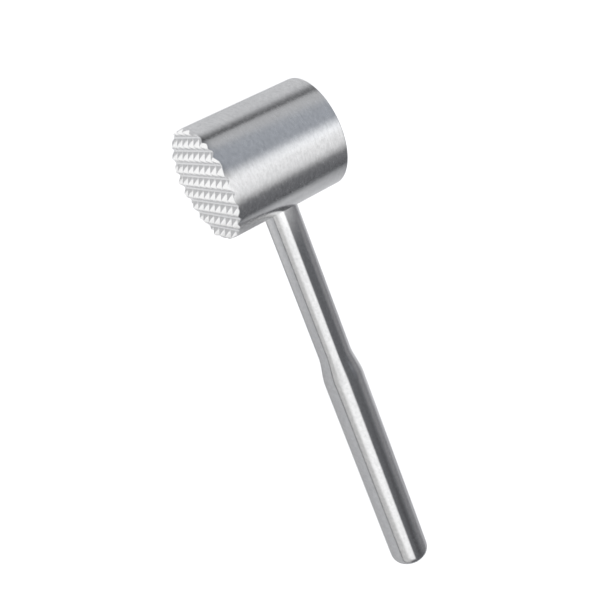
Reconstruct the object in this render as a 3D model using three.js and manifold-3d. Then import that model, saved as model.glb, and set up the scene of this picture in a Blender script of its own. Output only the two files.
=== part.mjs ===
// Stainless steel meat mallet, in millimetres, +Z up, lying on its side as it is put down.
// The origin is the centre of the smooth striking face, which looks towards +Y. The teeth look
// towards -Y. The handle leaves the head towards +X and dips until its end touches the floor.
// The head is one turned block with milled teeth. The hollow handle plugs into a socket in its side
// and is drawn home by a threaded stud, over a lock washer.
import * as THREE from "three";
import { mergeVertices } from "three/addons/utils/BufferGeometryUtils.js";
import Module from "manifold-3d";

const wasm = await Module();
wasm.setup();

// Head
const headDiameter = 50;
const headLength = 58.65; // smooth face to tooth tips
const faceEdgeChamfer = 0.6;
const rimDrop = 0.4; // the side draws in by this towards the teeth
const rimRun = 4.5; // over this length
const rimSteps = 5;

// Teeth: pyramids left between two sets of milled grooves. Along is in the handle's direction.
const toothDepth = 2.05;
const toothTipWidth = 0.5;
const pitchAlong = 5.86;
const pitchAcross = 5.6;
const rootAlong = 0.9; // width of the groove's flat bottom
const rootAcross = 0.5;
const shiftAlong = -0.5; // of the whole grid from the head's axis
const shiftAcross = 0.26;

// Handle, with lengths counted along its own axis from the head's crown
const handleSetback = 28.5; // of the handle's axis from the smooth face
const neckDiameter = 16;
const gripDiameter = 19.8;
const tubeWall = 1.5;
const neckLength = 74.1;
const flareLength = 15.1;
const gripLength = 104.9;
const flareSteps = 12;

// End cap
const capSkirt = 1.6; // straight stretch before the rounding
const capRise = 6.6; // height of the rounding
const capRoundness = 2.7; // exponent of the rounding's outline, 2 being an ellipse
const capSteps = 12;
const capSpigotLength = 7;
const spigotChamfer = 0.6;

// Joint between head and handle
const socketDepth = 14; // below the head's crown
const socketClearance = 0.1;
const pressGap = 0.05; // drawn between pressed pieces
const plugLength = 22;
const plugChamfer = 0.6;
const washerThickness = 2.2;
const washerOuterDiameter = 15.4;
const washerInnerDiameter = 10.6;
const washerSlit = 1.2;

// Stud and its thread
const threadDiameter = 10;
const threadPitch = 1.5;
const threadHeight = 0.9;
const threadClearance = 0.1;
const studInHead = 14;
const studInPlug = 14;
const studChamfer = 1;
const holeRunout = 2; // tapped hole beyond the stud's end

// Resolution, and how far cutters run past what they cut
const headSegments = 96;
const handleSegments = 48;
const threadSegments = 16;
const overrun = 1;

const headRadius = headDiameter / 2;
const neckRadius = neckDiameter / 2;
const gripRadius = gripDiameter / 2;
const threadRadius = threadDiameter / 2;
const socketFloor = headRadius - socketDepth; // from the head's axis
const neckEnd = socketFloor + washerThickness;
const flareStart = headRadius + neckLength;
const flareEnd = flareStart + flareLength;
const capSeam = flareEnd + gripLength;
const handleEnd = capSeam + capSkirt + capRise;

function solidOf(geometry) {
  const bare = geometry.clone();
  bare.deleteAttribute("normal");
  bare.deleteAttribute("uv");
  const merged = mergeVertices(bare);
  return new wasm.Manifold(
    new wasm.Mesh({
      numProp: 3,
      vertProperties: merged.attributes.position.array,
      triVerts: new Uint32Array(merged.index.array),
    }),
  );
}

function geometryOf(solid) {
  const mesh = solid.getMesh();
  const geometry = new THREE.BufferGeometry();
  geometry.setAttribute("position", new THREE.BufferAttribute(mesh.vertProperties, 3));
  geometry.setIndex(new THREE.BufferAttribute(mesh.triVerts, 1));
  geometry.computeVertexNormals();
  return geometry;
}

// A turned solid about Y. Outline points are [radius, height], walked so that the faces look out.
function turned(outline, segments) {
  const points = outline.map(([radius, height]) => new THREE.Vector2(radius, height));
  return new THREE.LatheGeometry(points, segments);
}

// A plain cylinder about Y between two heights.
function cylinder(radius, from, to, segments) {
  const outline = [
    [0, from],
    [radius, from],
    [radius, to],
    [0, to],
  ];
  return turned(outline, segments);
}

// A bar about Y between two heights, with chamfered ends.
function bar(radius, from, to, chamfer, segments) {
  const outline = [
    [0, from],
    [radius - chamfer, from],
    [radius, from + chamfer],
    [radius, to - chamfer],
    [radius - chamfer, to],
    [0, to],
  ];
  return turned(outline, segments);
}

// A helical vee thread about Y that starts well below one height and ends above the other.
// Its rows of points lie half a pitch apart, root and crest in turn, and after a turn round the
// axis each row becomes the second row above it. Every thread here is in step with the others.
function thread(crestRadius, from, to) {
  const start = threadPitch * (Math.floor(from / threadPitch) - 2);
  const rows = 2 * Math.ceil((to - start) / threadPitch + 2);
  const point = (row, step) => {
    const turn = step / threadSegments;
    const angle = 2 * Math.PI * (turn % 1);
    const radius = row % 2 ? crestRadius : crestRadius - threadHeight;
    const rise = threadPitch * (row / 2 + turn);
    return [radius * Math.sin(angle), start + rise, radius * Math.cos(angle)];
  };
  const bottom = [0, start + threadPitch / 2, 0];
  const top = [0, start + (threadPitch * (rows + 1)) / 2, 0];
  const corners = [];
  for (let step = 0; step < threadSegments; step++) {
    for (let row = 0; row < rows; row++) {
      const far = point(row + 1, step + 1);
      corners.push(...point(row, step), ...point(row, step + 1), ...far);
      corners.push(...point(row, step), ...far, ...point(row + 1, step));
    }
    corners.push(...bottom, ...point(0, step + 1), ...point(0, step));
    corners.push(...top, ...point(rows, step), ...point(rows, step + 1));
  }
  for (let row = 0; row < 2; row++) {
    corners.push(...bottom, ...point(row, 0), ...point(row + 1, 0));
    corners.push(...top, ...point(rows + row + 1, 0), ...point(rows + row, 0));
  }
  const geometry = new THREE.BufferGeometry();
  geometry.setAttribute("position", new THREE.Float32BufferAttribute(corners, 3));
  return solidOf(geometry);
}

// What a tap leaves between two heights: the stud's thread, grown by the thread clearance.
function tappedHole(from, to) {
  const length = solidOf(cylinder(threadDiameter, from, to, threadSegments));
  return thread(threadRadius + threadClearance, from, to).intersect(length);
}

// One milled groove along Z, with its mouth at the tooth tips.
function groove(pitch, rootWidth) {
  const mouth = (pitch - toothTipWidth) / 2;
  const root = rootWidth / 2;
  const spread = mouth + (overrun * (mouth - root)) / toothDepth;
  const section = new THREE.Shape([
    new THREE.Vector2(-spread, -headLength - overrun),
    new THREE.Vector2(spread, -headLength - overrun),
    new THREE.Vector2(root, toothDepth - headLength),
    new THREE.Vector2(-root, toothDepth - headLength),
  ]);
  const length = headDiameter + 2 * overrun;
  const cutter = new THREE.ExtrudeGeometry(section, { depth: length, bevelEnabled: false });
  return solidOf(cutter.translate(0, 0, -length / 2));
}

// Both sets of grooves. Until the grid is shifted, the middle ridge runs through the centre across
// the handle's direction, and the middle groove along it.
function grooves() {
  const acrossHandle = groove(pitchAlong, rootAlong);
  const alongHandle = groove(pitchAcross, rootAcross).rotate([0, 90, 0]);
  const reach = Math.ceil(headRadius / Math.min(pitchAlong, pitchAcross));
  const cuts = [];
  for (let index = -reach; index <= reach; index++) {
    cuts.push(acrossHandle.translate([shiftAlong + (index + 1 / 2) * pitchAlong, 0, 0]));
    cuts.push(alongHandle.translate([0, 0, shiftAcross + index * pitchAcross]));
  }
  return wasm.Manifold.union(cuts);
}

// The socket for the neck with the tapped hole below it, both drawn along the handle's axis.
function socket() {
  const radius = neckRadius + socketClearance;
  const bore = solidOf(cylinder(radius, socketFloor, headRadius + overrun, handleSegments));
  const holeEnd = socketFloor - studInHead - holeRunout;
  return bore.add(tappedHole(holeEnd, socketFloor + overrun));
}

// The head's outline from the toothed end, over the side that draws in, to the smooth face.
function headOutline() {
  const outline = [[0, -headLength]];
  for (let step = 0; step <= rimSteps; step++) {
    const share = step / rimSteps;
    outline.push([headRadius - rimDrop * (1 - share) ** 2, share * rimRun - headLength]);
  }
  outline.push([headRadius, -faceEdgeChamfer]);
  outline.push([headRadius - faceEdgeChamfer, 0]);
  outline.push([0, 0]);
  return outline;
}

function headBlock() {
  const block = solidOf(turned(headOutline(), headSegments)).subtract(grooves());
  const cut = socket().rotate([0, 0, -90]).translate([0, -handleSetback, 0]);
  return geometryOf(block.subtract(cut));
}

// A split spring washer, pressed flat between the socket's floor and the end of the neck.
function lockWasher() {
  const disc = solidOf(cylinder(washerOuterDiameter / 2, socketFloor, neckEnd, handleSegments));
  const low = socketFloor - overrun;
  const high = neckEnd + overrun;
  const middle = solidOf(cylinder(washerInnerDiameter / 2, low, high, handleSegments));
  const slit = new THREE.BoxGeometry(washerSlit, high - low, washerOuterDiameter);
  slit.translate(0, (low + high) / 2, washerOuterDiameter / 2);
  return geometryOf(disc.subtract(middle).subtract(solidOf(slit)));
}

function jointStud() {
  const from = socketFloor - studInHead;
  const to = neckEnd + studInPlug;
  const blank = solidOf(bar(threadRadius, from, to, studChamfer, handleSegments));
  return geometryOf(thread(threadRadius, from, to).intersect(blank));
}

function neckPlug() {
  const radius = neckRadius - tubeWall - pressGap;
  const end = neckEnd + plugLength;
  const blank = solidOf(bar(radius, neckEnd, end, plugChamfer, handleSegments));
  return geometryOf(blank.subtract(tappedHole(neckEnd - overrun, end + overrun)));
}

// The tube's outer outline: a straight neck, an S-shaped flare, then the straight grip.
function tubeOutline() {
  const outline = [[neckRadius, neckEnd]];
  for (let step = 0; step <= flareSteps; step++) {
    const share = step / flareSteps;
    const blend = share * share * (3 - 2 * share);
    const radius = neckRadius + (gripRadius - neckRadius) * blend;
    outline.push([radius, flareStart + share * flareLength]);
  }
  outline.push([gripRadius, capSeam]);
  return outline;
}

function handleTube() {
  const outer = tubeOutline();
  const inner = outer.map(([radius, height]) => [radius - tubeWall, height]).reverse();
  return turned([...outer, ...inner, outer[0]], handleSegments);
}

// The cap's outline from its seam with the tube to the tip of the handle.
function capOutline() {
  const outline = [[gripRadius, capSeam]];
  for (let step = 0; step < capSteps; step++) {
    const angle = ((step / capSteps) * Math.PI) / 2;
    const radius = gripRadius * Math.cos(angle) ** (2 / capRoundness);
    const rise = capRise * Math.sin(angle) ** (2 / capRoundness);
    outline.push([radius, capSeam + capSkirt + rise]);
  }
  outline.push([0, handleEnd]);
  return outline;
}

// The domed end, turned solid, with a spigot pressed into the tube.
function endCap() {
  const spigotRadius = gripRadius - tubeWall - pressGap;
  const spigotEnd = capSeam - capSpigotLength;
  const spigot = [
    [0, spigotEnd],
    [spigotRadius - spigotChamfer, spigotEnd],
    [spigotRadius, spigotEnd + spigotChamfer],
    [spigotRadius, capSeam],
  ];
  return turned([...spigot, ...capOutline()], handleSegments);
}

// How far the mallet tips over about the head's axis before its end cap meets the floor.
function restingTilt() {
  const tilts = capOutline().map(([radius, height]) => {
    const reach = Math.hypot(radius, height);
    return Math.asin(headRadius / reach) - Math.atan2(radius, height);
  });
  return Math.min(...tilts);
}

const headSteel = { color: 0xc4c6c9, roughness: 0.3, metalness: 1 };
const handleSteel = { color: 0xcbccce, roughness: 0.24, metalness: 1 };
const innerSteel = { color: 0x9b9da0, roughness: 0.45, metalness: 1 };

function piece(name, geometry, finish) {
  const mesh = new THREE.Mesh(geometry, new THREE.MeshStandardMaterial(finish));
  mesh.name = name;
  return mesh;
}

const handle = new THREE.Group();
handle.position.y = -handleSetback;
handle.rotation.z = -Math.PI / 2;
handle.add(
  piece("lock_washer", lockWasher(), innerSteel),
  piece("joint_stud", jointStud(), innerSteel),
  piece("neck_plug", neckPlug(), innerSteel),
  piece("handle_tube", handleTube(), handleSteel),
  piece("end_cap", endCap(), handleSteel),
);

const mallet = new THREE.Group();
mallet.rotation.y = restingTilt();
mallet.add(piece("head_block", headBlock(), headSteel), handle);

export default mallet;
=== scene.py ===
import bpy
import math
from mathutils import Matrix, Vector


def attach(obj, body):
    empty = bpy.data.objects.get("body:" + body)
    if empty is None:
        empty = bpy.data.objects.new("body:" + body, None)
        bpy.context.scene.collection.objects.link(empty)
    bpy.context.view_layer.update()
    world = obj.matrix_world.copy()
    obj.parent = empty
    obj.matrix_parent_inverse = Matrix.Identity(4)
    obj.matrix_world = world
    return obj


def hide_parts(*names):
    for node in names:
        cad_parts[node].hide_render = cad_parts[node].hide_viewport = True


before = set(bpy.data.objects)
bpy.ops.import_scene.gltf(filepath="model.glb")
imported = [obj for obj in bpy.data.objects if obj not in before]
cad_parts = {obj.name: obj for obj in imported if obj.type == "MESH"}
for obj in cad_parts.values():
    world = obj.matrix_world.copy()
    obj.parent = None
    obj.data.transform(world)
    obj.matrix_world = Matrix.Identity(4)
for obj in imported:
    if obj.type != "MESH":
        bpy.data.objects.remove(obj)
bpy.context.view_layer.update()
print("frame loaded")

# The mallet lies tipped about the head's axis, which is Y through the origin.
# The handle's own axis leaves that axis at the setback, and dips by the tilt.
lie = dict(tiltDeg=3.9195, setback=0.0285)
tilt = math.radians(lie["tiltDeg"])
tipOver = Matrix.Rotation(tilt, 4, "Y")
handleAxis = tipOver.to_3x3() @ Vector((1, 0, 0))


# small helpers for node trees

def addNode(tree, kind, **settings):
    node = tree.nodes.new(kind)
    for name, value in settings.items():
        setattr(node, name, value)
    return node


def feed(tree, socket, value):
    if isinstance(value, bpy.types.NodeSocket):
        tree.links.new(value, socket)
    elif value is not None:
        socket.default_value = value


def maths(tree, operation, a, b=None, c=None):
    node = addNode(tree, "ShaderNodeMath", operation=operation)
    for socket, value in zip(node.inputs, (a, b, c)):
        feed(tree, socket, value)
    return node.outputs[0]


def vectorMaths(tree, operation, a, b=None):
    node = addNode(tree, "ShaderNodeVectorMath", operation=operation)
    feed(tree, node.inputs[0], a)
    feed(tree, node.inputs[1], b)
    return node.outputs["Value" if operation in ("DOT_PRODUCT", "LENGTH") else "Vector"]


def smoothRange(tree, value, low, high, toLow=0.0, toHigh=1.0, kind="SMOOTHSTEP"):
    node = addNode(tree, "ShaderNodeMapRange", interpolation_type=kind)
    names = ("Value", "From Min", "From Max", "To Min", "To Max")
    for name, given in zip(names, (value, low, high, toLow, toHigh)):
        feed(tree, node.inputs[name], given)
    return node.outputs["Result"]


def mixColour(tree, factor, a, b):
    node = addNode(tree, "ShaderNodeMix", data_type="RGBA")
    feed(tree, node.inputs[0], factor)
    feed(tree, node.inputs[6], a)
    feed(tree, node.inputs[7], b)
    return node.outputs[2]


# turned pieces

def turnedMesh(name, outline, segments, place, sharpDeg=35):
    # outline points are (height, radius), and a radius of zero closes the piece on its axis
    mesh = bpy.data.meshes.new(name)
    vertices, rings = [], []
    for height, radius in outline:
        if radius == 0:
            rings.append([len(vertices)] * segments)
            vertices.append(place @ Vector((height, 0, 0)))
            continue
        rings.append(list(range(len(vertices), len(vertices) + segments)))
        for step in range(segments):
            angle = 2 * math.pi * step / segments
            vertices.append(place @ Vector((height, radius * math.cos(angle), radius * math.sin(angle))))
    faces = []
    closed = outline[0][1] != 0
    pairs = list(zip(rings, rings[1:])) + ([(rings[-1], rings[0])] if closed else [])
    for low, high in pairs:
        for step in range(segments):
            following = (step + 1) % segments
            corners = [low[step], low[following], high[following], high[step]]
            faces.append(list(dict.fromkeys(corners)))
    mesh.from_pydata(vertices, [], faces)
    mesh.validate()
    mesh.update()
    mesh.shade_smooth()
    mesh.set_sharp_from_angle(angle=math.radians(sharpDeg))
    return mesh


def addPiece(name, mesh, material):
    piece = bpy.data.objects.new(name, mesh)
    bpy.context.scene.collection.objects.link(piece)
    if material:
        mesh.materials.append(material)
    return piece


def rounding(radius, steps, low, high):
    # unit arc points from low to high, in degrees
    return [(radius * math.cos(a), radius * math.sin(a)) for a in
            (math.radians(low + (high - low) * step / steps) for step in range(steps + 1))]


# materials

# what every brushed piece shares: how fine and coarse lines are mixed, and the faint clouds
brush = dict(
    fineShare=0.35, fineDetail=4.0, fineSeed=3.0,
    coarseShare=0.65, coarseDetail=2.0, coarseSeed=11.0, lineRoughness=0.6,
    toneEdges=(0.32, 0.68), roughEdges=(0.3, 0.7),
    cloudScale=45.0, cloudDetail=3.0, cloudEdges=(0.35, 0.65),
    axisRadius=0.0005, bumpDepth=0.00002)


def grainGroup():
    # brushed lines that run round an axis, the X of Place, with faint clouds over them
    tree = bpy.data.node_groups.new("brushGrain", "ShaderNodeTree")
    face = tree.interface
    for name, kind in (("Position", "Vector"), ("Place", "Vector"), ("Fine Lines", "Float"),
                       ("Fine Round", "Float"), ("Coarse Lines", "Float"), ("Coarse Round", "Float"),
                       ("Dark", "Color"), ("Light", "Color"), ("Tint", "Color"), ("Cloud", "Float"),
                       ("Least Roughness", "Float"), ("Most Roughness", "Float")):
        face.new_socket(name, in_out="INPUT", socket_type="NodeSocket" + kind)
    for name, kind in (("Colour", "Color"), ("Roughness", "Float"), ("Streak", "Float"),
                       ("Along", "Float"), ("Radius", "Float")):
        face.new_socket(name, in_out="OUTPUT", socket_type="NodeSocket" + kind)
    given = addNode(tree, "NodeGroupInput").outputs
    result = addNode(tree, "NodeGroupOutput").inputs
    parts = addNode(tree, "ShaderNodeSeparateXYZ")
    tree.links.new(given["Place"], parts.inputs[0])
    along, side, up = parts.outputs
    square = maths(tree, "ADD", maths(tree, "MULTIPLY", side, side), maths(tree, "MULTIPLY", up, up))
    radius = maths(tree, "SQRT", square)
    safeRadius = maths(tree, "MAXIMUM", radius, brush["axisRadius"])
    unitSide = maths(tree, "DIVIDE", side, safeRadius)
    unitUp = maths(tree, "DIVIDE", up, safeRadius)

    def lines(alongScale, roundScale, detail, seed):
        # noise stretched into lines, with no seam round the axis
        spot = addNode(tree, "ShaderNodeCombineXYZ")
        feed(tree, spot.inputs[0], maths(tree, "MULTIPLY_ADD", along, alongScale, seed))
        feed(tree, spot.inputs[1], maths(tree, "MULTIPLY", unitSide, roundScale))
        feed(tree, spot.inputs[2], maths(tree, "MULTIPLY", unitUp, roundScale))
        noise = addNode(tree, "ShaderNodeTexNoise")
        tree.links.new(spot.outputs[0], noise.inputs["Vector"])
        noise.inputs["Scale"].default_value = 1.0
        noise.inputs["Detail"].default_value = detail
        noise.inputs["Roughness"].default_value = brush["lineRoughness"]
        return noise.outputs["Fac"]

    fine = lines(given["Fine Lines"], given["Fine Round"], brush["fineDetail"], brush["fineSeed"])
    coarse = lines(given["Coarse Lines"], given["Coarse Round"], brush["coarseDetail"], brush["coarseSeed"])
    streak = maths(tree, "ADD", maths(tree, "MULTIPLY", fine, brush["fineShare"]),
                   maths(tree, "MULTIPLY", coarse, brush["coarseShare"]))
    cloud = addNode(tree, "ShaderNodeTexNoise")
    tree.links.new(given["Position"], cloud.inputs["Vector"])
    cloud.inputs["Scale"].default_value = brush["cloudScale"]
    cloud.inputs["Detail"].default_value = brush["cloudDetail"]

    tone = smoothRange(tree, streak, *brush["toneEdges"], 0.0, 1.0, "LINEAR")
    colour = mixColour(tree, tone, given["Dark"], given["Light"])
    clouds = smoothRange(tree, cloud.outputs["Fac"], *brush["cloudEdges"], 0.0, given["Cloud"])
    rough = smoothRange(tree, streak, *brush["roughEdges"], given["Least Roughness"],
                        given["Most Roughness"], "LINEAR")
    feed(tree, result["Colour"], mixColour(tree, clouds, colour, given["Tint"]))
    feed(tree, result["Roughness"], rough)
    feed(tree, result["Streak"], streak)
    feed(tree, result["Along"], along)
    feed(tree, result["Radius"], radius)
    return tree


brushGrain = grainGroup()


def brushedSteel(name, look):
    material = bpy.data.materials.new(name)
    material.use_nodes = True
    tree = material.node_tree
    tree.nodes.clear()
    output = addNode(tree, "ShaderNodeOutputMaterial")
    steel = addNode(tree, "ShaderNodeBsdfPrincipled")
    steel.inputs["Metallic"].default_value = 1.0
    steel.inputs["Anisotropic"].default_value = look["anisotropic"]
    tree.links.new(steel.outputs[0], output.inputs[0])

    # place along and round the piece's own axis
    coordinates = addNode(tree, "ShaderNodeTexCoord")
    mapping = addNode(tree, "ShaderNodeMapping", vector_type="POINT")
    mapping.inputs["Location"].default_value = look["offset"]
    mapping.inputs["Rotation"].default_value = look["turn"]
    tree.links.new(coordinates.outputs["Object"], mapping.inputs["Vector"])
    grain = addNode(tree, "ShaderNodeGroup", node_tree=brushGrain)
    for socket, value in (("Position", coordinates.outputs["Object"]), ("Place", mapping.outputs[0]),
                          ("Fine Lines", look["fineLines"]), ("Fine Round", look["fineRound"]),
                          ("Coarse Lines", look["coarseLines"]), ("Coarse Round", look["coarseRound"]),
                          ("Dark", look["dark"]), ("Light", look["light"]), ("Tint", look["tint"]),
                          ("Cloud", look["cloud"]), ("Least Roughness", look["roughness"][0]),
                          ("Most Roughness", look["roughness"][1])):
        feed(tree, grain.inputs[socket], value)
    colour, rough = grain.outputs["Colour"], grain.outputs["Roughness"]

    if "milled" in look:
        # the toothed face is brighter and duller than the brushed side
        deep = smoothRange(tree, grain.outputs["Along"], *look["milledFrom"], 1.0, 0.0)
        inside = smoothRange(tree, grain.outputs["Radius"], *look["milledRadius"], 1.0, 0.0)
        milled = maths(tree, "MULTIPLY", deep, inside)
        # painted shade: the flanks that look away from the handle are turned from the light, and get a
        # greyer colour for it
        facing = addNode(tree, "ShaderNodeSeparateXYZ")
        tree.links.new(coordinates.outputs["Normal"], facing.inputs[0])
        shadedFlank = smoothRange(tree, facing.outputs[0], *look["shadedFlankFrom"], 1.0, 0.0)
        cut = mixColour(tree, shadedFlank, look["milled"], look["milledShadedFlank"])
        colour = mixColour(tree, milled, colour, cut)
        rough = smoothRange(tree, milled, 0.0, 1.0, rough, look["milledRoughness"], "LINEAR")
        drawnOut = smoothRange(tree, milled, 0.0, 1.0, look["anisotropic"], 0.0, "LINEAR")
        tree.links.new(drawnOut, steel.inputs["Anisotropic"])
    tree.links.new(colour, steel.inputs["Base Color"])
    tree.links.new(rough, steel.inputs["Roughness"])

    # fine lines run round the axis, so highlights are drawn out along it
    geometry = addNode(tree, "ShaderNodeNewGeometry")
    across = vectorMaths(tree, "CROSS_PRODUCT", look["axis"], geometry.outputs["Normal"])
    tangent = vectorMaths(tree, "CROSS_PRODUCT", across, geometry.outputs["Normal"])
    tree.links.new(tangent, steel.inputs["Tangent"])

    bump = addNode(tree, "ShaderNodeBump")
    bump.inputs["Strength"].default_value = look["bump"]
    bump.inputs["Distance"].default_value = brush["bumpDepth"]
    tree.links.new(grain.outputs["Streak"], bump.inputs["Height"])
    tree.links.new(bump.outputs[0], steel.inputs["Normal"])
    return material


headLook = dict(
    offset=(0, 0, 0), turn=(0, 0, math.radians(-90)), axis=(0, 1, 0),
    fineLines=2600.0, fineRound=4.0, coarseLines=800.0, coarseRound=12.0,
    dark=(0.655, 0.655, 0.655, 1), light=(0.865, 0.865, 0.865, 1),
    tint=(0.69, 0.69, 0.70, 1), cloud=0.25,
    roughness=(0.20, 0.29), anisotropic=0.65, bump=0.05,
    # painted shade: the flanks that look away from the handle get the greyer milled colour
    milledFrom=(-0.0566, -0.0564), milledRadius=(0.0246, 0.0249), shadedFlankFrom=(-0.6, -0.3),
    milled=(0.92, 0.92, 0.92, 1), milledShadedFlank=(0.64, 0.64, 0.64, 1), milledRoughness=0.25)
headSteel = brushedSteel("headSteel", headLook)

handleLook = dict(
    offset=(0, lie["setback"], 0), turn=(0, -tilt, 0), axis=tuple(handleAxis),
    fineLines=1500.0, fineRound=5.0, coarseLines=500.0, coarseRound=6.0,
    dark=(0.67, 0.67, 0.67, 1), light=(0.81, 0.81, 0.81, 1),
    tint=(0.70, 0.70, 0.71, 1), cloud=0.2,
    roughness=(0.15, 0.20), anisotropic=0.6, bump=0.04)
handleSteel = brushedSteel("handleSteel", handleLook)

innerLook = dict(
    handleLook, fineLines=900.0, roughness=(0.4, 0.55),
    dark=(0.42, 0.425, 0.43, 1), light=(0.6, 0.6, 0.61, 1))
innerSteel = brushedSteel("innerSteel", innerLook)
print("materials made")


# head: a turned blank, milled by a geometry nodes modifier

head = dict(
    radius=0.025, length=0.05865, segments=256, faceRound=0.0006, roundSteps=6,
    rimDrop=0.0004, rimRun=0.0045, rimSteps=16,
    pitch=(0.00586, 0.0056), root=(0.0009, 0.0005), shift=(-0.0005, 0.00026),
    depth=0.00205, tip=0.0005, edgeRound=0.04,
    linesPerTooth=16, crowd=0.85, teethAcross=10, sharpDeg=25)


def headBlank():
    r = head["faceRound"]
    outline = [(0, 0)]
    outline += [(-r + x, head["radius"] - r + y) for x, y in rounding(r, head["roundSteps"], 0, 90)]
    for step in range(head["rimSteps"] + 1):
        share = step / head["rimSteps"]
        height = (1 - share) * head["rimRun"] - head["length"]
        outline.append((height, head["radius"] - head["rimDrop"] * share ** 2))
    outline.append((-head["length"], 0))
    outline.reverse()
    place = Matrix.Rotation(math.radians(90), 4, "Z")
    return turnedMesh("headBlank", outline, head["segments"], place)


def millingTree():
    tree = bpy.data.node_groups.new("millTeeth", "GeometryNodeTree")
    face = tree.interface
    face.new_socket("Geometry", in_out="INPUT", socket_type="NodeSocketGeometry")
    face.new_socket("Geometry", in_out="OUTPUT", socket_type="NodeSocketGeometry")
    for name, value in (("Length", head["length"]), ("Depth", head["depth"]), ("Tip Width", head["tip"]),
                        ("Pitch Along", head["pitch"][0]), ("Pitch Across", head["pitch"][1]),
                        ("Root Along", head["root"][0]), ("Root Across", head["root"][1]),
                        ("Shift Along", head["shift"][0]), ("Shift Across", head["shift"][1]),
                        ("Edge Round", head["edgeRound"]), ("Crowd", head["crowd"])):
        face.new_socket(name, in_out="INPUT", socket_type="NodeSocketFloat").default_value = value
    for name, value in (("Lines Per Tooth", head["linesPerTooth"]), ("Teeth Across", head["teethAcross"])):
        face.new_socket(name, in_out="INPUT", socket_type="NodeSocketInt").default_value = value
    face.new_socket("Tilt", in_out="INPUT", socket_type="NodeSocketFloat").default_value = 0.0
    face.new_socket("Material", in_out="INPUT", socket_type="NodeSocketMaterial")
    given = addNode(tree, "NodeGroupInput").outputs
    result = addNode(tree, "NodeGroupOutput")

    count = maths(tree, "MULTIPLY_ADD", given["Teeth Across"], given["Lines Per Tooth"], 1)
    size = addNode(tree, "ShaderNodeCombineXYZ")
    feed(tree, size.inputs[0], maths(tree, "MULTIPLY", given["Teeth Across"], given["Pitch Along"]))
    feed(tree, size.inputs[1], maths(tree, "MULTIPLY", given["Length"], 2.0))
    feed(tree, size.inputs[2], maths(tree, "MULTIPLY", given["Teeth Across"], given["Pitch Across"]))
    slab = addNode(tree, "GeometryNodeMeshCube")
    feed(tree, slab.inputs["Size"], size.outputs[0])
    feed(tree, slab.inputs["Vertices X"], count)
    slab.inputs["Vertices Y"].default_value = 2
    feed(tree, slab.inputs["Vertices Z"], count)

    position = addNode(tree, "GeometryNodeInputPosition")
    parts = addNode(tree, "ShaderNodeSeparateXYZ")
    tree.links.new(position.outputs[0], parts.inputs[0])

    def crowded(value, pitch, start):
        # lines drawn together at the tips and roots, in pitches from a groove's centre
        u = maths(tree, "ADD", maths(tree, "DIVIDE", value, pitch), start)
        wave = maths(tree, "SINE", maths(tree, "MULTIPLY", u, 4 * math.pi))
        swing = maths(tree, "MULTIPLY", given["Crowd"], 1 / (4 * math.pi))
        return maths(tree, "SUBTRACT", u, maths(tree, "MULTIPLY", wave, swing))

    def flank(u, pitch, root):
        # height of one set of ridges, from 0 at the root to 1 at the tip
        offset = maths(tree, "ABSOLUTE", maths(tree, "SUBTRACT", u, maths(tree, "ROUND", u)))
        distance = maths(tree, "MULTIPLY", offset, pitch)
        halfRoot = maths(tree, "MULTIPLY", root, 0.5)
        halfTip = maths(tree, "MULTIPLY", given["Tip Width"], 0.5)
        halfPitch = maths(tree, "MULTIPLY", pitch, 0.5)
        rise = maths(tree, "SUBTRACT", maths(tree, "SUBTRACT", halfPitch, halfRoot), halfTip)
        ramp = maths(tree, "DIVIDE", maths(tree, "SUBTRACT", distance, halfRoot), rise)
        low = maths(tree, "SMOOTH_MAX", ramp, 0.0, given["Edge Round"])
        return maths(tree, "SMOOTH_MIN", low, 1.0, given["Edge Round"])

    u = crowded(parts.outputs[0], given["Pitch Along"], 0.5)
    w = crowded(parts.outputs[2], given["Pitch Across"], 0.0)
    height = maths(tree, "MINIMUM", flank(u, given["Pitch Along"], given["Root Along"]),
                   flank(w, given["Pitch Across"], given["Root Across"]))
    struck = maths(tree, "LESS_THAN", parts.outputs[1], 0.0)
    cut = maths(tree, "MULTIPLY", maths(tree, "SUBTRACT", 1.0, height), given["Depth"])
    toothed = maths(tree, "SUBTRACT", cut, given["Length"])
    y = maths(tree, "ADD", maths(tree, "MULTIPLY", struck, toothed),
              maths(tree, "MULTIPLY", maths(tree, "SUBTRACT", 1.0, struck), parts.outputs[1]))
    moved = addNode(tree, "ShaderNodeCombineXYZ")
    fromMiddle = maths(tree, "SUBTRACT", u, 0.5)
    feed(tree, moved.inputs[0],
         maths(tree, "MULTIPLY_ADD", fromMiddle, given["Pitch Along"], given["Shift Along"]))
    feed(tree, moved.inputs[1], y)
    feed(tree, moved.inputs[2], maths(tree, "MULTIPLY_ADD", w, given["Pitch Across"], given["Shift Across"]))
    place = addNode(tree, "GeometryNodeSetPosition")
    feed(tree, place.inputs["Geometry"], slab.outputs["Mesh"])
    feed(tree, place.inputs["Position"], moved.outputs[0])

    split = addNode(tree, "GeometryNodeTriangulate", quad_method="LONGEST_DIAGONAL")
    feed(tree, split.inputs["Mesh"], place.outputs[0])
    turn = addNode(tree, "ShaderNodeCombineXYZ")
    feed(tree, turn.inputs[1], given["Tilt"])
    tip = addNode(tree, "GeometryNodeTransform")
    feed(tree, tip.inputs["Geometry"], split.outputs[0])
    feed(tree, tip.inputs["Rotation"], turn.outputs[0])

    mill = addNode(tree, "GeometryNodeMeshBoolean", operation="INTERSECT", solver="MANIFOLD")
    tree.links.new(given["Geometry"], mill.inputs["Mesh 2"])
    tree.links.new(tip.outputs[0], mill.inputs["Mesh 2"])

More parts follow.
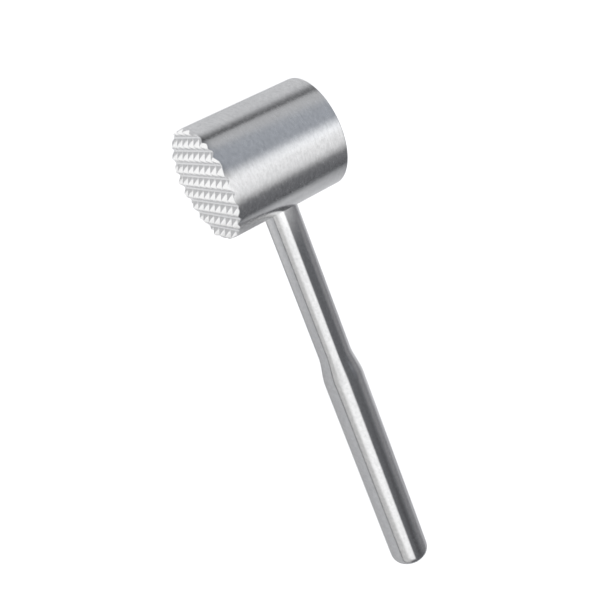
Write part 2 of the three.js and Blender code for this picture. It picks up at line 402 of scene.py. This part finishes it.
    angle = addNode(tree, "GeometryNodeInputMeshEdgeAngle")
    sharp = maths(tree, "GREATER_THAN", angle.outputs["Unsigned Angle"], math.radians(head["sharpDeg"]))
    smoothAll = addNode(tree, "GeometryNodeSetShadeSmooth", domain="FACE")
    feed(tree, smoothAll.inputs["Geometry"], mill.outputs["Mesh"])
    keep = addNode(tree, "GeometryNodeSetShadeSmooth", domain="EDGE")
    feed(tree, keep.inputs["Geometry"], smoothAll.outputs[0])
    feed(tree, keep.inputs["Selection"], sharp)
    keep.inputs["Shade Smooth"].default_value = False

    real = addNode(tree, "GeometryNodeRealizeInstances")
    feed(tree, real.inputs[0], keep.outputs[0])
    finish = addNode(tree, "GeometryNodeSetMaterial")
    feed(tree, finish.inputs["Geometry"], real.outputs[0])
    feed(tree, finish.inputs["Material"], given["Material"])
    feed(tree, result.inputs[0], finish.outputs[0])
    return tree


def setInput(modifier, name, value):
    for item in modifier.node_group.interface.items_tree:
        if item.item_type == "SOCKET" and item.in_out == "INPUT" and item.name == name:
            modifier[item.identifier] = value


def bake(piece):
    # the modifier's result becomes the piece's own plain mesh
    graph = bpy.context.evaluated_depsgraph_get()
    finished = piece.evaluated_get(graph)
    mesh = bpy.data.meshes.new_from_object(finished, preserve_all_data_layers=True, depsgraph=graph)
    piece.modifiers.clear()
    piece.data = mesh
    mesh.name = piece.name
    return mesh


headPiece = addPiece("headBlock", headBlank(), None)
milling = headPiece.modifiers.new("millTeeth", "NODES")
milling.node_group = millingTree()
setInput(milling, "Material", headSteel)
setInput(milling, "Tilt", tilt)
headMesh = bake(headPiece)
print("head milled,", len(headMesh.polygons), "faces")


# handle: tube and end cap, turned about the handle's axis

handle = dict(
    neckStart=0.0132, neckRadius=0.008, gripRadius=0.0099, wall=0.0015, segments=128,
    flareStart=0.0991, flareLength=0.0151, flareSteps=28, capSeam=0.2191,
    skirt=0.0016, rise=0.0066, roundness=2.7, domeSteps=28, spigot=0.007, spigotGap=0.00005)
handlePlace = tipOver @ Matrix.Translation((0, -lie["setback"], 0))


def tubeOutline():
    outer = [(handle["neckStart"], handle["neckRadius"])]
    for step in range(handle["flareSteps"] + 1):
        share = step / handle["flareSteps"]
        blend = share * share * (3 - 2 * share)
        outer.append((handle["flareStart"] + share * handle["flareLength"],
                      handle["neckRadius"] + (handle["gripRadius"] - handle["neckRadius"]) * blend))
    outer.append((handle["capSeam"], handle["gripRadius"]))
    inner = [(height, radius - handle["wall"]) for height, radius in reversed(outer)]
    return (outer + inner)[::-1]


def capOutline():
    seam, grip = handle["capSeam"], handle["gripRadius"]
    spigot = grip - handle["wall"] - handle["spigotGap"]
    start = seam - handle["spigot"]
    outline = [(start, 0), (start, spigot), (seam, spigot), (seam, grip)]
    for step in range(handle["domeSteps"]):
        angle = step / handle["domeSteps"] * math.pi / 2
        power = 2 / handle["roundness"]
        outline.append((seam + handle["skirt"] + handle["rise"] * math.sin(angle) ** power,
                        grip * math.cos(angle) ** power))
    outline.append((seam + handle["skirt"] + handle["rise"], 0))
    return outline[::-1]


tubeMesh = turnedMesh("handleTube", tubeOutline(), handle["segments"], handlePlace)
tubePiece = addPiece("handleTube", tubeMesh, handleSteel)
capMesh = turnedMesh("endCap", capOutline(), handle["segments"], handlePlace)
capPiece = addPiece("endCap", capMesh, handleSteel)
print("handle turned")

for node in ("neck_plug", "joint_stud", "lock_washer"):
    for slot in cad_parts[node].material_slots:
        slot.material = innerSteel

for piece, node, slotName in ((headPiece, "head_block", "head_steel"),
                              (tubePiece, "handle_tube", "handle_steel"),
                              (capPiece, "end_cap", "handle_steel")):
    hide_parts(node)
    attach(piece, "root")


# studio: floor, world and camera

# the painted pool of light, the painted shade at the far end, the painted shadow and the painted spot of
# light are only in what the steel mirrors
floorLook = dict(
    height=-0.025, size=8.0, colour=(0.86, 0.86, 0.865, 1), cameraLift=0.78, mirrorLift=0.37,
    poolCentre=(-0.07, -0.01), poolRadius=(0.05, 0.19), poolEdge=0.35, poolEnd=(0.32, 0.6),
    darkEnd=(-0.30, -0.10), darkEndShade=0.45,
    shadowWidth=(0.004, 0.026), shadowStart=(0.005, 0.025), shadowEnd=(0.05, 0.16), shadowLeft=0.2,
    spotCentre=(0.14, 0.03), spotRadius=(0.015, 0.05), spotLift=0.17)


def makeFloor():
    bpy.ops.mesh.primitive_plane_add(size=floorLook["size"], location=(0, 0, floorLook["height"]))
    floor = bpy.context.object
    floor.name = "floor"
    material = bpy.data.materials.new("floorPaper")
    material.use_nodes = True
    tree = material.node_tree
    tree.nodes.clear()
    output = addNode(tree, "ShaderNodeOutputMaterial")
    paper = addNode(tree, "ShaderNodeBsdfDiffuse")
    lift = addNode(tree, "ShaderNodeEmission")
    lift.inputs["Color"].default_value = (1, 1, 1, 1)
    path = addNode(tree, "ShaderNodeLightPath")
    position = addNode(tree, "ShaderNodeTexCoord").outputs["Object"]
    parts = addNode(tree, "ShaderNodeSeparateXYZ")
    tree.links.new(position, parts.inputs[0])
    x, y = parts.outputs[:2]

    def distance(centre):
        return vectorMaths(tree, "LENGTH", vectorMaths(tree, "SUBTRACT", position, (*centre, 0)))

    # painted shade: the paper gets darker beyond the head
    shade = smoothRange(tree, x, *floorLook["darkEnd"], floorLook["darkEndShade"], 1.0)
    shade = maths(tree, "MAXIMUM", shade, path.outputs["Is Camera Ray"])
    tree.links.new(mixColour(tree, shade, (0, 0, 0, 1), floorLook["colour"]), paper.inputs["Color"])
    # a painted pool of light round the head
    away = distance(floorLook["poolCentre"])
    pool = smoothRange(tree, away, *floorLook["poolRadius"], 1.0, floorLook["poolEdge"])
    pool = maths(tree, "MULTIPLY", pool, smoothRange(tree, away, *floorLook["poolEnd"], 1.0, 0.0))
    # a painted shadow under the handle
    aside = maths(tree, "ABSOLUTE", maths(tree, "ADD", y, lie["setback"]))
    under = smoothRange(tree, aside, *floorLook["shadowWidth"], 1.0, 0.0)
    under = maths(tree, "MULTIPLY", under, smoothRange(tree, x, *floorLook["shadowStart"]))
    under = maths(tree, "MULTIPLY", under,
                  smoothRange(tree, x, *floorLook["shadowEnd"], 1.0, floorLook["shadowLeft"]))
    pool = maths(tree, "MULTIPLY", pool, maths(tree, "SUBTRACT", 1.0, under))
    # a small painted spot of light beside the flare
    spot = smoothRange(tree, distance(floorLook["spotCentre"]), *floorLook["spotRadius"],
                       floorLook["spotLift"], 0.0)
    mirrored = maths(tree, "MULTIPLY_ADD", pool, floorLook["mirrorLift"], spot)

    unseen = maths(tree, "MAXIMUM", path.outputs["Is Glossy Ray"], path.outputs["Is Transmission Ray"])
    strength = maths(tree, "MULTIPLY_ADD", path.outputs["Is Camera Ray"], floorLook["cameraLift"],
                     maths(tree, "MULTIPLY", unseen, mirrored))
    tree.links.new(strength, lift.inputs["Strength"])
    both = addNode(tree, "ShaderNodeAddShader")
    tree.links.new(paper.outputs[0], both.inputs[0])
    tree.links.new(lift.outputs[0], both.inputs[1])
    tree.links.new(both.outputs[0], output.inputs[0])
    floor.data.materials.append(material)


def panelGroup():
    # a soft-edged rectangle of light, seen in one direction of the sky
    leastAhead = 0.001
    tree = bpy.data.node_groups.new("softPanel", "ShaderNodeTree")
    face = tree.interface
    for name in ("Direction", "Facing", "Across"):
        face.new_socket(name, in_out="INPUT", socket_type="NodeSocketVector")
    for name in ("Half Width", "Half Height", "Softness"):
        face.new_socket(name, in_out="INPUT", socket_type="NodeSocketFloat")
    face.new_socket("Mask", in_out="OUTPUT", socket_type="NodeSocketFloat")
    given = addNode(tree, "NodeGroupInput").outputs
    result = addNode(tree, "NodeGroupOutput")
    toward = vectorMaths(tree, "DOT_PRODUCT", given["Direction"], given["Facing"])
    ahead = maths(tree, "MAXIMUM", toward, leastAhead)
    upward = vectorMaths(tree, "CROSS_PRODUCT", given["Facing"], given["Across"])

    def side(axis, half):
        off = maths(tree, "DIVIDE", vectorMaths(tree, "DOT_PRODUCT", given["Direction"], axis), ahead)
        off = maths(tree, "ABSOLUTE", off)
        inner = maths(tree, "SUBTRACT", half, given["Softness"])
        outer = maths(tree, "ADD", half, given["Softness"])
        return smoothRange(tree, off, inner, outer, 1.0, 0.0)

    both = maths(tree, "MULTIPLY", side(given["Across"], given["Half Width"]),
                 side(upward, given["Half Height"]))
    mask = maths(tree, "MULTIPLY", both, maths(tree, "GREATER_THAN", toward, leastAhead))
    feed(tree, result.inputs[0], mask)
    return tree


# colours of the room: open east side, walls, and the dark line along the horizon
roomColours = dict(
    east=(0.147, 0.150, 0.160), north=(0.29, 0.29, 0.302), south=(0.66, 0.66, 0.66),
    westLow=(0.60, 0.605, 0.62), westHigh=(0.41, 0.435, 0.48),
    dusk=(0.09, 0.09, 0.095), horizon=(0.02, 0.02, 0.02))
horizonBand = (0.01, 0.08)

# far walls: azimuth and elevation in degrees, half sizes and softness as tangents
walls = (
    dict(azimuth=133, elevation=38, half=(0.75, 0.6), soft=0.20, colour="westHigh"),
    dict(azimuth=133, elevation=10, half=(0.60, 0.28), soft=0.15, colour="westLow"),
    dict(azimuth=-62, elevation=12, half=(0.8, 0.5), soft=0.30, colour="south"),
    dict(azimuth=27, elevation=40, half=(0.15, 0.12), soft=0.12, colour="dusk"),
)
# this one stands on the floor, in front of the dark horizon
lowWalls = (
    dict(azimuth=75, elevation=8, half=(0.55, 0.47), soft=0.25, colour="north"),
)

# softboxes: centre, size and brightness, the shares of the cloth that fade out at the low and high
# edges, how the brightness changes across, and how far each is turned up from looking straight down
softboxes = (
    dict(name="headBox", centre=(0.0224, -0.0138, 0.051), size=(0.0782, 0.173), level=0.77, turnDeg=0,
         edges=((0.267, 0.504), (0.2, 0.25)), change=(-0.7, -0.1)),
    dict(name="gripBox", centre=(0.39, -0.4525, 0.35), size=(0.74, 0.795), level=1.06, turnDeg=0,
         edges=((0.10, 0.12), (0.88, 0.087)), change=(0.0, 0.0)),
    dict(name="faceBox", centre=(0.02, -0.2, 0.04), size=(0.12, 0.11), level=0.45, turnDeg=90,
         edges=((0.25, 0.25), (0.2, 0.2)), change=(0.0, 0.0)),
)


def makeWorld():
    world = bpy.data.worlds.new("studio")
    bpy.context.scene.world = world
    world.use_nodes = True
    tree = world.node_tree
    tree.nodes.clear()
    output = addNode(tree, "ShaderNodeOutputWorld")
    background = addNode(tree, "ShaderNodeBackground")
    tree.links.new(background.outputs[0], output.inputs[0])
    coordinates = addNode(tree, "ShaderNodeTexCoord")
    direction = coordinates.outputs["Generated"]
    parts = addNode(tree, "ShaderNodeSeparateXYZ")
    tree.links.new(direction, parts.inputs[0])
    group = panelGroup()

    def build(wall, behind):
        node = addNode(tree, "ShaderNodeGroup", node_tree=group)
        azimuth = math.radians(wall["azimuth"])
        elevation = math.radians(wall["elevation"])
        level = math.cos(elevation)
        tree.links.new(direction, node.inputs["Direction"])
        node.inputs["Facing"].default_value = (
            level * math.cos(azimuth), level * math.sin(azimuth), math.sin(elevation))
        node.inputs["Across"].default_value = (-math.sin(azimuth), math.cos(azimuth), 0)
        node.inputs["Half Width"].default_value = wall["half"][0]
        node.inputs["Half Height"].default_value = wall["half"][1]
        node.inputs["Softness"].default_value = wall["soft"]
        return mixColour(tree, node.outputs[0], behind, (*roomColours[wall["colour"]], 1))

    colour = (*roomColours["east"], 1)
    for wall in walls:
        colour = build(wall, colour)
    above = smoothRange(tree, parts.outputs[2], *horizonBand)
    colour = mixColour(tree, above, (*roomColours["horizon"], 1), colour)
    for wall in lowWalls:
        colour = build(wall, colour)
    path = addNode(tree, "ShaderNodeLightPath")
    shown = mixColour(tree, path.outputs["Is Camera Ray"], colour, (1, 1, 1, 1))
    tree.links.new(shown, background.inputs["Color"])


def makeSoftbox(box):
    data = bpy.data.lights.new(box["name"], "AREA")
    data.shape = "RECTANGLE"
    data.size, data.size_y = box["size"]
    data.energy = box["level"] * math.pi * data.size * data.size_y
    data.use_nodes = True
    tree = data.node_tree
    tree.nodes.clear()
    output = addNode(tree, "ShaderNodeOutputLight")
    glow = addNode(tree, "ShaderNodeEmission")
    tree.links.new(glow.outputs[0], output.inputs[0])
    # the cloth is brighter in the middle and fades out at the frame
    geometry = addNode(tree, "ShaderNodeNewGeometry")
    parts = addNode(tree, "ShaderNodeSeparateXYZ")
    tree.links.new(geometry.outputs["Parametric"], parts.inputs[0])
    mask = 1.0
    for value, (low, high), change in zip(parts.outputs, box["edges"], box["change"]):
        mask = maths(tree, "MULTIPLY", smoothRange(tree, value, 0.0, low), mask)
        mask = maths(tree, "MULTIPLY", smoothRange(tree, value, 1 - high, 1.0, 1.0, 0.0), mask)
        slope = maths(tree, "MULTIPLY_ADD", value, change, 1 - change / 2)
        mask = maths(tree, "MULTIPLY", slope, mask)
    tree.links.new(mask, glow.inputs["Strength"])
    light = bpy.data.objects.new(box["name"], data)
    light.location = box["centre"]
    light.rotation_euler = (math.radians(box["turnDeg"]), 0, 0)
    light.visible_camera = False
    bpy.context.scene.collection.objects.link(light)


view = dict(
    place=(-0.073742, -0.187147, 0.327103),
    right=(0.3338, 0.7879, 0.5175), up=(-0.8661, 0.4730, -0.1615),
    lens=49.706, sensor=36.0, clipStart=0.01)


def makeCamera():
    data = bpy.data.cameras.new("camera")
    camera = bpy.data.objects.new("camera", data)
    bpy.context.scene.collection.objects.link(camera)
    data.sensor_fit = "HORIZONTAL"
    data.sensor_width = view["sensor"]
    data.lens = view["lens"]
    data.clip_start = view["clipStart"]
    right = Vector(view["right"]).normalized()
    up = Vector(view["up"])
    up = (up - right * up.dot(right)).normalized()
    turn = Matrix((right, up, right.cross(up))).transposed().to_4x4()
    camera.matrix_world = tipOver @ Matrix.Translation(view["place"]) @ turn
    bpy.context.scene.camera = camera


makeFloor()
makeWorld()
for softbox in softboxes:
    makeSoftbox(softbox)
makeCamera()
bpy.context.scene.view_settings.view_transform = "Standard"
print("studio set")
